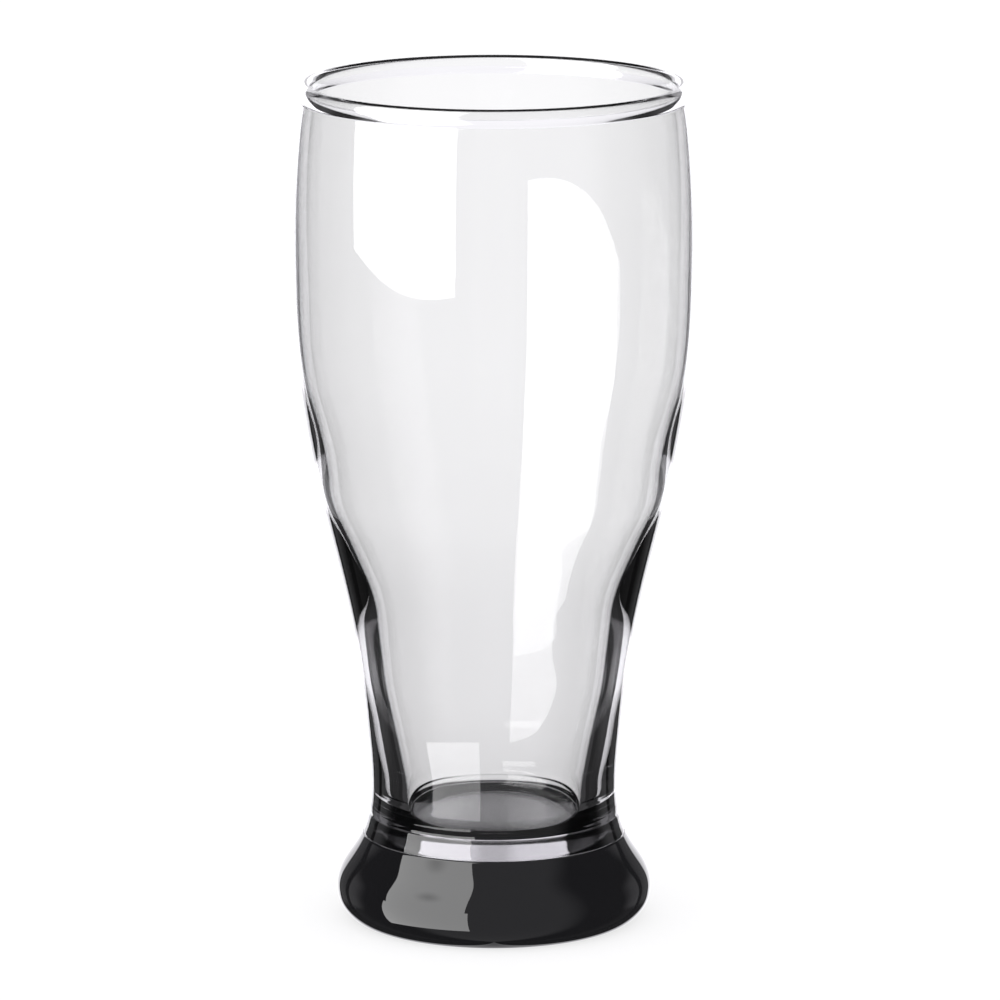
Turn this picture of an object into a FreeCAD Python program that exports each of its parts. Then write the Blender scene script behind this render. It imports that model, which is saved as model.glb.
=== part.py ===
"""Pint glass: a clear blown bowl on a heavy black glass foot, joined at the neck.

Millimetres, +Z up. The axis of the glass is Z, and it stands on the plane Z = 0.
Every piece is a half section in the XZ plane, turned once round the axis.
"""

import os

import FreeCAD
import Part

# ---- driving dimensions, mm ----
# A pair is (radius, height). A "way" is the direction of a curve at its end, as (radius, height).
HEIGHT = 180.0

# Rim: a rounded bead that stands inwards of the wall, with a faint groove under it outside.
BEAD_RADIUS = 1.35
BEAD_OUTER_R = 40.95
GROOVE = (40.85, 176.3)
GROOVE_WAY = (-0.15, 1.0)
BEAD_START_WAY = (0.3, 1.0)
BEAD_END_WAY = (0.5, -1.0)
LIP = (39.35, 176.0)
LIP_WAY = (0.2, -1.0)

# Outside of the bowl, from above the joint up to below the groove.
OUTER_WALL = (
    (26.75, 22.0),
    (26.15, 28.0),
    (26.85, 40.0),
    (27.85, 50.0),
    (29.35, 60.0),
    (32.1, 73.0),
    (35.3, 86.0),
    (38.25, 99.0),
    (40.65, 113.0),
    (42.3, 128.0),
    (42.9, 144.0),
    (42.6, 158.0),
    (41.65, 170.0),
)

# Inside of the bowl, from below the lip down into the well. The wall is about 1.5 mm thick near the top
# and swells to 5 mm below a soft shoulder, 64 to 90 mm up.
INNER_WALL = (
    (40.65, 166.0),
    (41.3, 150.0),
    (41.05, 136.0),
    (38.95, 113.0),
    (35.43, 97.0),
    (33.94, 90.0),
    (32.12, 84.0),
    (30.35, 79.0),
    (28.5, 74.0),
    (26.78, 69.0),
    (25.4, 64.0),
    (24.18, 58.0),
    (23.0, 50.0),
    (21.33, 40.0),
    (20.3, 34.5),
    (19.55, 30.0),
)
WELL = (19.05, 25.5)
WELL_WAY = (-0.1, -1.0)
WELL_CORNER = (18.0, 22.2)
FLOOR_EDGE = (15.6, 21.0)
FLOOR = (0.0, 21.0)

# Joint between the bowl and the foot: a shallow dish, deepest on the axis.
JOINT_EDGE = (27.9, 18.4)
JOINT_BOTTOM = (0.0, 17.4)
JOINT_WAY = (-0.5, 1.0)

# Foot: flares from the joint to a rounded edge, with a shallow punt inside its bearing ring.
FOOT_FLARE = (
    (32.4, 11.0),
    (29.8, 15.0),
)
FOOT_WIDEST = (33.6, 6.7)
FOOT_EDGE = (
    (32.05, 2.0),
    (33.2, 4.0),
)
RING_OUTER = (29.4, 0.0)
RING_WAY = (1.0, 0.35)
RING_INNER = (25.8, 0.0)
PUNT_TOP = (0.0, 3.0)

UP = (0.0, 1.0)
INWARDS = (-1.0, 0.0)


def point(radius, height):
    """A point of the half section."""
    return FreeCAD.Vector(radius, 0.0, height)


def line(start, end):
    """A straight edge between two pairs."""
    return Part.LineSegment(point(*start), point(*end)).toShape()


def dish(axis_end, outer_end):
    """A shallow bowed edge, level on the axis, from a pair on the axis to an outer pair."""
    rise = outer_end[1] - axis_end[1]
    middle = point(outer_end[0] / 2, axis_end[1] + rise / 4)
    return Part.Arc(point(*axis_end), middle, point(*outer_end)).toShape()


def smooth(points, start_way, end_way):
    """A smooth edge through the pairs that leaves and arrives in the given directions."""
    curve = Part.BSplineCurve()
    vectors = [point(*pair) for pair in points]
    curve.interpolate(
        Points=vectors,
        InitialTangent=point(*start_way).normalize(),
        FinalTangent=point(*end_way).normalize(),
        Scale=False,
    )
    return curve.toShape()


def turned(edges):
    """The solid made by turning a closed half section once round the axis."""
    face = Part.Face(Part.Wire(Part.__sortEdges__(edges)))
    return face.revolve(FreeCAD.Vector(0, 0, 0), FreeCAD.Vector(0, 0, 1), 360)


def bead():
    """The rim's edge, from the groove outside over the top to the lip inside."""
    middle_r = BEAD_OUTER_R - BEAD_RADIUS
    middle_z = HEIGHT - BEAD_RADIUS
    outer = (BEAD_OUTER_R, middle_z)
    top = (middle_r, HEIGHT)
    inner = (middle_r - BEAD_RADIUS, middle_z)
    return smooth((GROOVE, outer, top, inner, LIP), BEAD_START_WAY, BEAD_END_WAY)


def make_bowl():
    """The clear glass: bead, wall, floor and the short plug under the floor."""
    return turned(
        [
            dish(JOINT_BOTTOM, JOINT_EDGE),
            smooth((JOINT_EDGE,) + OUTER_WALL + (GROOVE,), JOINT_WAY, GROOVE_WAY),
            bead(),
            smooth((LIP,) + INNER_WALL + (WELL,), LIP_WAY, WELL_WAY),
            smooth((WELL, WELL_CORNER, FLOOR_EDGE), WELL_WAY, INWARDS),
            line(FLOOR_EDGE, FLOOR),
            line(FLOOR, JOINT_BOTTOM),
        ]
    )


def make_foot():
    """The black glass: neck flare, rounded edge, bearing ring and punt."""
    return turned(
        [
            dish(PUNT_TOP, RING_INNER),
            line(RING_INNER, RING_OUTER),
            smooth((RING_OUTER,) + FOOT_EDGE + (FOOT_WIDEST,), RING_WAY, UP),
            smooth((FOOT_WIDEST,) + FOOT_FLARE + (JOINT_EDGE,), UP, JOINT_WAY),
            dish(JOINT_BOTTOM, JOINT_EDGE),
            line(JOINT_BOTTOM, PUNT_TOP),
        ]
    )


os.makedirs("parts", exist_ok=True)
make_bowl().exportStep("parts/bowl.step")
make_foot().exportStep("parts/foot.step")
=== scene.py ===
"""Pint glass in a plain studio: a clear bowl and a black foot, turned round one axis inside the CAD frame."""

import math

import bpy
import numpy as np
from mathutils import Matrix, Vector


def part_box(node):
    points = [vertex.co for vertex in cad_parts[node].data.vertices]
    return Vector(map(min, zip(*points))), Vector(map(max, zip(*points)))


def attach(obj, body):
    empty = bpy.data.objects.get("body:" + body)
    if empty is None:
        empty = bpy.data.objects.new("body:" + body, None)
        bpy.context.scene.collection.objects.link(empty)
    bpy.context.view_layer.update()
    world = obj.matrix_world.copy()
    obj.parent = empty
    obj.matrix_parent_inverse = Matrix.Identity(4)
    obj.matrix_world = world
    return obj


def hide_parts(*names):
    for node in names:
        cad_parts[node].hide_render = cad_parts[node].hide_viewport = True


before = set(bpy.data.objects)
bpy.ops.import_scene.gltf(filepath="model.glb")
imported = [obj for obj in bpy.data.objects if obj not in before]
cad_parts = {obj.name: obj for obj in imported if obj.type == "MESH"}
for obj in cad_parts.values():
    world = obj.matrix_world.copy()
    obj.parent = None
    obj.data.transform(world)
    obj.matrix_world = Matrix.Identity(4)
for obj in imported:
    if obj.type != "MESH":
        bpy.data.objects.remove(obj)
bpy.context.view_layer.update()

MM = 0.001

# ---- the glass, mm: every pair is (radius, height), as in the CAD model ----
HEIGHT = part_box("bowl")[1][2] / MM
BEAD_RADIUS = 1.35
BEAD_OUTER_R = 40.95
GROOVE = (40.85, 176.3)
GROOVE_WAY = (-0.15, 1.0)
BEAD_START_WAY = (0.3, 1.0)
BEAD_END_WAY = (0.5, -1.0)
LIP = (39.35, 176.0)
LIP_WAY = (0.2, -1.0)
OUTER_WALL = (
    (26.75, 22.0),
    (26.15, 28.0),
    (26.85, 40.0),
    (27.85, 50.0),
    (29.35, 60.0),
    (32.1, 73.0),
    (35.3, 86.0),
    (38.25, 99.0),
    (40.65, 113.0),
    (42.3, 128.0),
    (42.9, 144.0),
    (42.6, 158.0),
    (41.65, 170.0),
)
INNER_WALL = (
    (40.65, 166.0),
    (41.3, 150.0),
    (41.05, 136.0),
    (38.95, 113.0),
    (35.43, 97.0),
    (33.94, 90.0),
    (32.12, 84.0),
    (30.35, 79.0),
    (28.5, 74.0),
    (26.78, 69.0),
    (25.4, 64.0),
    (24.18, 58.0),
    (23.0, 50.0),
    (21.33, 40.0),
    (20.3, 34.5),
    (19.55, 30.0),
)
WELL = (19.05, 25.5)
WELL_WAY = (-0.1, -1.0)
WELL_CORNER = (18.0, 22.2)
FLOOR_EDGE = (15.6, 21.0)
FLOOR = (0.0, 21.0)
JOINT_EDGE = (27.9, 18.4)
JOINT_BOTTOM = (0.0, 17.4)
JOINT_WAY = (-0.5, 1.0)
FOOT_FLARE = (
    (32.4, 11.0),
    (29.8, 15.0),
)
FOOT_WIDEST = (33.6, 6.7)
FOOT_EDGE = (
    (32.05, 2.0),
    (33.2, 4.0),
)
RING_OUTER = (29.4, 0.0)
RING_WAY = (1.0, 0.35)
RING_INNER = (25.8, 0.0)
PUNT_TOP = (0.0, 3.0)
UP = (0.0, 1.0)
INWARDS = (-1.0, 0.0)
JOINT_FILM = 0.04  # the gap that keeps the joint's two faces apart in the render
JOINT_LEVELS = (17.0, 18.5)  # the joint's faces lie between these heights
JOINT_FLATNESS = 0.95  # and their normals are at least this upright

# ---- fine relief, mm ----
SEAM = ((22.5, 0.65, -0.2), (24.3, 0.2, 0.05))  # height, half width, rise
RIPPLE_DEPTH = 0.006
RIPPLE_FADE = 12.0  # the ripple dies away towards the axis inside this radius
RIPPLES = (  # waves round the glass, radians up it per mm, shift, share
    (3, 0.11, 0.4, 1.0),
    (7, 0.05, 1.9, 0.6),
    (5, -0.23, 4.1, 0.5),
    (12, 0.31, 2.6, 0.22),
    (2, 0.62, 0.9, 0.18),
)

# ---- glass ----
GLASS_IOR = 1.52
JOINT_IOR = 1.035  # the clear glass against the black glass
BLACK = (0.009, 0.009, 0.010)
BLACK_ROUGHNESS = 0.02
TINT = (0.9, 0.898, 0.902)
TINT_DENSITY = 200.0  # per metre, times 1 less the tint

# ---- studio: levels, and angles in degrees from straight behind the glass or above level ----
WHITE = 1.06
SHEET_COLOUR = (0.996, 0.988, 1.025)  # every level is times this: very slightly lavender
DARKEST = 0.03
SHEET_LIMIT = 26.5
SHEET_WIDENING = 0.24
SHEET_SOFT = 0.6
SHEET_MIDDLE = (2.0, 9.0)
SHEET_LEVELS = (1.2, 1.7)
SHEET_DIM_FROM_TO = (-30.0, -13.0)
SHEET_DIM = 0.6
SHEET_LIFT_FROM_TO = (0.0, 10.0)
SHEET_LIFT = 1.15
SHEET_TOP = (26.0, 34.0)
BENT_LIMIT = (17.0, 21.0)  # where what is seen through the glass turns from white to dark
BENT_TOP = (30.0, 36.0)
NEAR_WALL = 0.16
NEAR_WALL_RISE = (25.0, 29.0)
NEAR_WALL_FALL = (40.0, 43.5)
FAR_WALL = 0.28
FAR_WALL_RISE = (46.5, 49.0)
FAR_WALL_FALL = (56.0, 75.0)
WALL_LOW_SHARE = 0.25
WALL_LOW_FROM_TO = (-23.0, -17.0)
WALL_TOP = (8.0, 20.0)
ROOM_LEVEL = 0.36
ROOM_FRONT = (100.0, 130.0)
ROOM_TOP = (38.0, 60.0)

# ---- floor ----
FLOOR_RADIUS = 40.0  # metres
FLOOR_SIDES = 128
FLOOR_PALENESS = 0.3
FLOOR_GLOW = 0.75

# ---- softbox, metres: corners as (along the panel to the left, height) ----
SOFTBOX_AZIMUTH = 52.0  # degrees left of the camera
SOFTBOX_DISTANCE = 0.6
SOFTBOX_CORNERS = ((0.36, 0.052), (-0.36, 0.008), (-0.36, 1.7), (0.9, 1.7))
SOFTBOX_LEVEL = 4.8
SOFTBOX_SPOT = (0.03, 0.42)
SOFTBOX_SPOT_SIZE = 0.16
SOFTBOX_SPOT_SHARE = 0.7
SHEEN_SPAN = (13.7, 66.0)  # degrees left of the camera
SHEEN_RADIUS = 0.06
SHEEN_HEIGHTS = (-0.019, 0.014)
SHEEN_STEPS = 24

# ---- how finely light and the pieces are worked out ----
GLASS_BOUNCES = 32
OTHER_BOUNCES = 16
TURN_STEPS = 288
CURVE_STEP = 0.45  # mm between points along an outline, as are the next three
OUTSIDE_STEP = 0.25
CORNER_STEP = 0.2
BEAD_STEP = 0.12

# ---- camera, mm ----
CAMERA_DISTANCE = 1517.0
CAMERA_HEIGHT = 402.6
AIM_HEIGHT = 90.4
AIM_SIDE = 1.3
LENS = 262.8
SENSOR_WIDTH = 36.0
CLIP_END = 100.0  # metres


def smooth(points, start_way, end_way, step=CURVE_STEP):
    """Points along a smooth curve through the pairs: the clamped cubic spline that the CAD model uses."""
    given = np.array(points, float)
    runs = np.linalg.norm(np.diff(given, axis=0), axis=1)
    count = len(given)
    system = np.zeros((count, count))
    right = np.zeros((count, 2))
    system[0, 0] = system[-1, -1] = 1.0
    right[0] = np.array(start_way) / np.linalg.norm(start_way)
    right[-1] = np.array(end_way) / np.linalg.norm(end_way)
    slopes = np.diff(given, axis=0) / runs[:, None]
    for i in range(1, count - 1):
        system[i, i - 1] = runs[i]
        system[i, i] = 2 * (runs[i - 1] + runs[i])
        system[i, i + 1] = runs[i - 1]
        right[i] = 3 * (runs[i] * slopes[i - 1] + runs[i - 1] * slopes[i])
    ways = np.linalg.solve(system, right)
    path = []
    for i, run in enumerate(runs):
        share = np.linspace(0, 1, max(2, math.ceil(run / step) + 1))[:-1, None]
        square, cube = share**2, share**3
        path.append(
            (2 * cube - 3 * square + 1) * given[i]
            + (cube - 2 * square + share) * run * ways[i]
            + (3 * square - 2 * cube) * given[i + 1]
            + (cube - square) * run * ways[i + 1]
        )
    return np.concatenate(path + [given[-1:]])


def straight(start, end, step=CURVE_STEP):
    """Points along a straight line."""
    length = math.dist(start, end)
    return np.linspace(start, end, max(2, math.ceil(length / step) + 1))


def dish(axis_end, outer_end, step=CURVE_STEP):
    """Points along an arc that is level on the axis."""
    reach, drop = outer_end[0], axis_end[1] - outer_end[1]
    radius = np.linspace(0, reach, math.ceil(reach / step) + 1)
    return np.stack([radius, axis_end[1] - drop * (radius / reach) ** 2], axis=1)


def joined(*paths):
    """One path from several that meet end to end."""
    return np.concatenate([paths[0]] + [path[1:] for path in paths[1:]])


def bead():
    """The rim's edge, from the groove outside over the top to the lip inside."""
    middle_r = BEAD_OUTER_R - BEAD_RADIUS
    middle_z = HEIGHT - BEAD_RADIUS
    outer = (BEAD_OUTER_R, middle_z)
    top = (middle_r, HEIGHT)
    inner = (middle_r - BEAD_RADIUS, middle_z)
    return smooth((GROOVE, outer, top, inner, LIP), BEAD_START_WAY, BEAD_END_WAY, step=BEAD_STEP)


def bowl_section():
    """The bowl's half section, from the joint on the axis round to the cavity's floor on the axis."""
    outside = smooth((JOINT_EDGE,) + OUTER_WALL + (GROOVE,), JOINT_WAY, GROOVE_WAY, step=OUTSIDE_STEP)
    outside[:, 0] += seam(outside[:, 1])
    return joined(
        dish(JOINT_BOTTOM, JOINT_EDGE),
        outside,
        bead(),
        smooth((LIP,) + INNER_WALL + (WELL,), LIP_WAY, WELL_WAY),
        smooth((WELL, WELL_CORNER, FLOOR_EDGE), WELL_WAY, INWARDS, step=CORNER_STEP),
        straight(FLOOR_EDGE, FLOOR),
    )


def foot_section():
    """The foot's half section, from the punt on the axis round to the joint on the axis."""
    top = dish((0.0, JOINT_BOTTOM[1] - JOINT_FILM), (JOINT_EDGE[0], JOINT_EDGE[1] - JOINT_FILM))
    return joined(
        dish(PUNT_TOP, RING_INNER),
        straight(RING_INNER, RING_OUTER),
        smooth((RING_OUTER,) + FOOT_EDGE + (FOOT_WIDEST,), RING_WAY, UP),
        smooth((FOOT_WIDEST,) + FOOT_FLARE + (tuple(top[-1]),), UP, JOINT_WAY),
        top[::-1],
    )


def seam(height):
    """The fused seam's relief round the neck, mm: a shallow groove and a fine ridge above it."""
    relief = np.zeros_like(height)
    for middle, width, rise in SEAM:
        relief += rise * np.exp(-(((height - middle) / width) ** 2))
    return relief


def ripple(angles, height, depth):
    """The unevenness of fire-polished glass, mm: slow waves round and up the wall, all of them inwards."""
    waves = np.zeros(np.broadcast(angles, height).shape)
    for turns, rise, shift, share in RIPPLES:
        waves = waves + share * (np.sin(turns * angles + rise * height + shift) - 1.0)
    return depth * waves


def turned(name, section, depth):
    """A closed mesh: the half section turned round the axis, with one vertex at each of its two ends."""
    rings = section[1:-1]
    angles = np.linspace(0, 2 * math.pi, TURN_STEPS, endpoint=False)
    radius, height = rings[:, 0:1], rings[:, 1:2]
    fade = np.clip(radius / RIPPLE_FADE, 0, 1)
    radius = radius + fade * ripple(angles, height, depth)
    around = [radius * np.cos(angles), radius * np.sin(angles), np.broadcast_to(height, radius.shape)]
    ends = [(0.0, 0.0, section[0][1]), (0.0, 0.0, section[-1][1])]
    vertices = np.concatenate([np.stack(around, axis=2).reshape(-1, 3), np.array(ends)]) * MM
    first_end, last_end = len(vertices) - 2, len(vertices) - 1
    faces = []
    for ring in range(len(rings) - 1):
        low, high = ring * TURN_STEPS, (ring + 1) * TURN_STEPS
        for turn in range(TURN_STEPS):
            after = (turn + 1) % TURN_STEPS
            faces.append((low + turn, low + after, high + after, high + turn))
    top = (len(rings) - 1) * TURN_STEPS
    for turn in range(TURN_STEPS):
        after = (turn + 1) % TURN_STEPS
        faces.append((first_end, after, turn))
        faces.append((last_end, top + turn, top + after))
    mesh = bpy.data.meshes.new(name)
    mesh.from_pydata(vertices.tolist(), [], faces)
    mesh.polygons.foreach_set("use_smooth", [True] * len(faces))
    mesh.update()
    piece = bpy.data.objects.new(name, mesh)
    bpy.context.scene.collection.objects.link(piece)
    return piece


def new_material(name):
    """An empty node material and its Principled shader."""
    material = bpy.data.materials.new(name)
    material.use_nodes = True
    return material, material.node_tree.nodes["Principled BSDF"]


def clear_glass():
    """Clear soda glass, very faintly lavender in its thick parts."""
    material, shader = new_material("clear_glass")
    shader.inputs["Base Color"].default_value = (1, 1, 1, 1)
    shader.inputs["Transmission Weight"].default_value = 1.0
    shader.inputs["IOR"].default_value = GLASS_IOR
    shader.inputs["Roughness"].default_value = 0.0
    nodes, links = material.node_tree.nodes, material.node_tree.links
    tint = nodes.new("ShaderNodeVolumeAbsorption")
    tint.inputs["Color"].default_value = (*TINT, 1)
    tint.inputs["Density"].default_value = TINT_DENSITY
    links.new(tint.outputs[0], nodes["Material Output"].inputs["Volume"])
    return material


def joint_glass():
    """The joint: only light that skims it is turned back, and the rest goes on into the black foot."""
    material, shader = new_material("joint_glass")
    shader.inputs["Base Color"].default_value = (1, 1, 1, 1)
    shader.inputs["Transmission Weight"].default_value = 1.0
    shader.inputs["IOR"].default_value = JOINT_IOR
    shader.inputs["Roughness"].default_value = 0.0
    return material


def black_glass():
    """Polished glass, so dark that nothing is seen through it."""
    material, shader = new_material("black_glass")
    shader.inputs["Base Color"].default_value = (*BLACK, 1)
    shader.inputs["IOR"].default_value = GLASS_IOR
    shader.inputs["Roughness"].default_value = BLACK_ROUGHNESS
    return material


def joint_black():
    """The foot's side of the joint, which has no surface of its own to shine."""
    material, shader = new_material("joint_black")
    shader.inputs["Base Color"].default_value = (*BLACK, 1)
    shader.inputs["Specular IOR Level"].default_value = 0.0
    shader.inputs["Roughness"].default_value = 1.0
    return material


def face_joint(piece, material):
    """Gives the nearly level faces at the joint's height a material of their own."""
    piece.data.materials.append(material)
    for face in piece.data.polygons:
        height = face.center.z / MM
        if JOINT_LEVELS[0] < height < JOINT_LEVELS[1] and abs(face.normal.z) > JOINT_FLATNESS:
            face.material_index = 1


def place(piece, node, material):
    """Gives the piece its material, and lets it stand for its CAD node."""
    piece.data.materials.append(material)
    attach(piece, "root")
    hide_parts(node)


class Sums:
    """Arithmetic in a node tree: each call adds one node and gives its output socket."""

    def __init__(self, tree):
        self.tree = tree

    def put(self, socket, value):
        """Sets an input socket to a number, or links another node's output to it."""
        if isinstance(value, (int, float)):
            socket.default_value = value
        else:
            self.tree.links.new(value, socket)

    def maths(self, kind, *values):
        """One sum of the given kind."""
        node = self.tree.nodes.new("ShaderNodeMath")
        node.operation = kind
        for socket, value in zip(node.inputs, values):
            self.put(socket, value)
        return node.outputs[0]

    def slope(self, value, start, end, low=0.0, high=1.0):
        """A smooth step from low, where the value is at start, to high, where it is at end."""
        node = self.tree.nodes.new("ShaderNodeMapRange")
        node.interpolation_type = "SMOOTHSTEP"
        given = {"Value": value, "From Min": start, "From Max": end, "To Min": low, "To Max": high}
        for name, amount in given.items():
            self.put(node.inputs[name], amount)
        return node.outputs["Result"]

    def times(self, *values):
        """The product of the values."""
        total = values[0]
        for value in values[1:]:
            total = self.maths("MULTIPLY", total, value)
        return total

    def brightest(self, *values):
        """The largest of the values."""
        total = values[0]
        for value in values[1:]:
            total = self.maths("MAXIMUM", total, value)
        return total


def backdrop(sums, off, height):
    """The lit sheet behind the glass: brighter off its middle and high up, narrower and dimmer low down."""
    below = sums.maths("MINIMUM", height, 0.0)
    limit = sums.maths("ADD", SHEET_LIMIT, sums.maths("MULTIPLY", below, SHEET_WIDENING))
    past = sums.maths("SUBTRACT", off, limit)
    inside = sums.slope(past, -SHEET_SOFT, SHEET_SOFT, 1.0, 0.0)
    level = sums.slope(off, *SHEET_MIDDLE, SHEET_LEVELS[0], SHEET_LEVELS[1])
    low_down = sums.slope(height, *SHEET_DIM_FROM_TO, SHEET_DIM, 1.0)
    higher = sums.slope(height, *SHEET_LIFT_FROM_TO, 1.0, SHEET_LIFT)
    under_top = sums.slope(height, *SHEET_TOP, 1.0, 0.0)
    return sums.times(inside, level, low_down, higher, under_top)


def side_walls(sums, off, height):
    """The dark studio beside the sheet, with a dim stretch next to it and another further round."""
    near = sums.times(sums.slope(off, *NEAR_WALL_RISE), sums.slope(off, *NEAR_WALL_FALL, 1.0, 0.0), NEAR_WALL)
    far = sums.times(sums.slope(off, *FAR_WALL_RISE), sums.slope(off, *FAR_WALL_FALL, 1.0, 0.0), FAR_WALL)
    level_on = sums.slope(height, *WALL_LOW_FROM_TO, WALL_LOW_SHARE, 1.0)
    under_top = sums.slope(height, *WALL_TOP, 1.0, 0.0)
    return sums.times(sums.maths("ADD", near, far), level_on, under_top)


def room(sums, off, height):
    """The dim room on the camera's side and overhead."""
    front = sums.slope(off, *ROOM_FRONT)
    above = sums.slope(height, *ROOM_TOP)
    return sums.times(sums.brightest(front, above), ROOM_LEVEL)


def see_through(sums, off, height):
    """White, except that light bent far aside by the glass comes from beyond the sheet."""
    path = sums.tree.nodes.new("ShaderNodeLightPath")
    bent = sums.maths("GREATER_THAN", path.outputs["Transmission Depth"], 0.5)
    plain = sums.maths("LESS_THAN", path.outputs["Diffuse Depth"], 0.5)
    aside = sums.brightest(sums.slope(off, *BENT_LIMIT), sums.slope(height, *BENT_TOP))
    return sums.maths("SUBTRACT", WHITE, sums.times(bent, plain, aside, WHITE - DARKEST))


def is_mirrored(sums):
    """1 for light that has been mirrored somewhere on its way, and 0 for any other."""
    path = sums.tree.nodes.new("ShaderNodeLightPath")
    return sums.maths("GREATER_THAN", path.outputs["Glossy Depth"], 0.5)


def for_mirrored(material, plain, mirrored):
    """Gives a stage material one shader for plain light and another for mirrored light."""
    sums = Sums(material.node_tree)
    mix = material.node_tree.nodes.new("ShaderNodeMixShader")
    sums.put(mix.inputs[0], is_mirrored(sums))
    sums.put(mix.inputs[1], plain)
    sums.put(mix.inputs[2], mirrored)
    sums.put(material.node_tree.nodes["Material Output"].inputs["Surface"], mix.outputs[0])


def studio_world():
    """White all round for what is seen straight, and dark where the glass bends the view far aside.

    Mirrored light sees the studio itself: a lit sheet behind the glass, dark walls beside it and a dim room
    in front.
    """
    world = bpy.data.worlds.new("studio")
    bpy.context.scene.world = world
    world.use_nodes = True
    nodes, links = world.node_tree.nodes, world.node_tree.links
    background = nodes["Background"]
    background.inputs["Color"].default_value = (*SHEET_COLOUR, 1)
    sums = Sums(world.node_tree)
    way = nodes.new("ShaderNodeTexCoord")
    split = nodes.new("ShaderNodeSeparateXYZ")
    links.new(way.outputs["Generated"], split.inputs[0])
    x, y, z = split.outputs
    azimuth = sums.maths("DEGREES", sums.maths("ARCTAN2", x, y))  # 0 behind the glass, 90 on its right
    height = sums.maths("DEGREES", sums.maths("ARCSINE", z))
    off = sums.maths("ABSOLUTE", azimuth)
    pattern = sums.brightest(
        backdrop(sums, off, height),
        side_walls(sums, off, height),
        room(sums, off, height),
        DARKEST,
    )
    mirrored = is_mirrored(sums)
    for_the_rest = sums.times(sums.maths("SUBTRACT", 1.0, mirrored), see_through(sums, off, height))
    level = sums.maths("ADD", sums.times(mirrored, pattern), for_the_rest)
    links.new(level, background.inputs["Strength"])


def pale_floor():
    """A wide pale sheet, partly lit from within, so that the glass hardly shades it. Mirrored light passes
    through it to the studio's own walls."""
    bpy.ops.mesh.primitive_circle_add(vertices=FLOOR_SIDES, radius=FLOOR_RADIUS, fill_type="NGON")
    floor = bpy.context.object
    floor.name = "floor"
    material, shader = new_material("pale_floor")
    shader.inputs["Base Color"].default_value = (*[FLOOR_PALENESS] * 3, 1)
    shader.inputs["Roughness"].default_value = 1.0
    shader.inputs["Specular IOR Level"].default_value = 0.0
    shader.inputs["Emission Color"].default_value = (1, 1, 1, 1)
    shader.inputs["Emission Strength"].default_value = FLOOR_GLOW
    clear = material.node_tree.nodes.new("ShaderNodeBsdfTransparent")
    for_mirrored(material, shader.outputs[0], clear.outputs[0])
    floor.data.materials.append(material)


def glow(name, vertices, faces):
    """A stage mesh that shines by itself, and that only mirrored light sees."""
    mesh = bpy.data.meshes.new(name)
    mesh.from_pydata(vertices, [], faces)
    panel = bpy.data.objects.new(name, mesh)
    bpy.context.scene.collection.objects.link(panel)
    material = bpy.data.materials.new(name)
    material.use_nodes = True
    nodes = material.node_tree.nodes
    nodes.remove(nodes["Principled BSDF"])
    light = nodes.new("ShaderNodeEmission")
    light.inputs["Strength"].default_value = SOFTBOX_LEVEL
    clear = nodes.new("ShaderNodeBsdfTransparent")
    for_mirrored(material, clear.outputs[0], light.outputs[0])
    mesh.materials.append(material)
    panel.visible_camera = False
    panel.visible_diffuse = False
    panel.visible_shadow = False
    return material, light


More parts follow.
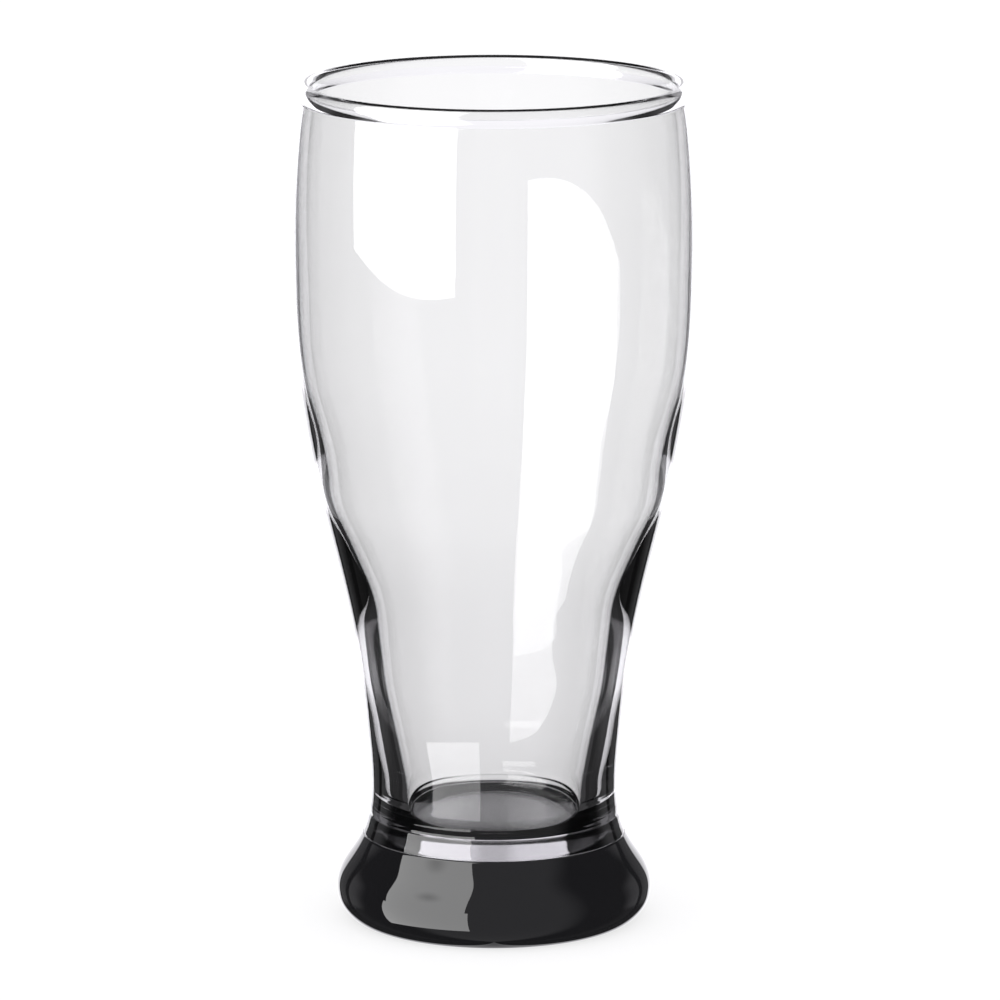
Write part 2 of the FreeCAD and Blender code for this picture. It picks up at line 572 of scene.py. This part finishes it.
def softbox():
    """A tall soft light on the camera's left with a dimmer spot, and the table's sheen close to the foot."""
    turn = math.radians(SOFTBOX_AZIMUTH)
    out = Vector((-math.sin(turn), -math.cos(turn), 0)) * SOFTBOX_DISTANCE
    along = Vector((-math.cos(turn), math.sin(turn), 0))
    corners = [out + along * left + Vector((0, 0, up)) for left, up in SOFTBOX_CORNERS]
    material, light = glow("softbox", corners, [(0, 1, 2, 3)])
    sums = Sums(material.node_tree)
    place_on = material.node_tree.nodes.new("ShaderNodeNewGeometry")
    away = material.node_tree.nodes.new("ShaderNodeVectorMath")
    away.operation = "DISTANCE"
    material.node_tree.links.new(place_on.outputs["Position"], away.inputs[0])
    away.inputs[1].default_value = out + along * SOFTBOX_SPOT[0] + Vector((0, 0, SOFTBOX_SPOT[1]))
    dimmest = SOFTBOX_SPOT_SHARE * SOFTBOX_LEVEL
    level = sums.slope(away.outputs["Value"], 0.0, SOFTBOX_SPOT_SIZE, dimmest, SOFTBOX_LEVEL)
    material.node_tree.links.new(level, light.inputs["Strength"])

    turns = np.radians(np.linspace(*SHEEN_SPAN, SHEEN_STEPS))
    r = SHEEN_RADIUS
    vertices = [(-r * math.sin(a), -r * math.cos(a), z) for z in SHEEN_HEIGHTS for a in turns]
    strips = range(SHEEN_STEPS - 1)
    glow("table_sheen", vertices, [(i, i + 1, SHEEN_STEPS + i + 1, SHEEN_STEPS + i) for i in strips])


def camera():
    """A long lens in front of the glass and a little above it."""
    data = bpy.data.cameras.new("camera")
    data.lens = LENS
    data.sensor_width = SENSOR_WIDTH
    data.clip_end = CLIP_END
    item = bpy.data.objects.new("camera", data)
    bpy.context.scene.collection.objects.link(item)
    item.location = Vector((AIM_SIDE, -CAMERA_DISTANCE, CAMERA_HEIGHT)) * MM
    aim = Vector((AIM_SIDE, 0, AIM_HEIGHT)) * MM
    item.rotation_euler = (aim - item.location).to_track_quat("-Z", "Y").to_euler()
    bpy.context.scene.camera = item


scene = bpy.context.scene
scene.view_settings.view_transform = "Standard"
scene.cycles.max_bounces = GLASS_BOUNCES
scene.cycles.transmission_bounces = GLASS_BOUNCES
scene.cycles.glossy_bounces = OTHER_BOUNCES
scene.cycles.transparent_max_bounces = OTHER_BOUNCES

bowl = turned("bowl_glass", bowl_section(), RIPPLE_DEPTH)
place(bowl, "bowl", clear_glass())
face_joint(bowl, joint_glass())
foot = turned("foot_glass", foot_section(), 0.0)
place(foot, "foot", black_glass())
face_joint(foot, joint_black())
studio_world()
pale_floor()
softbox()
camera()
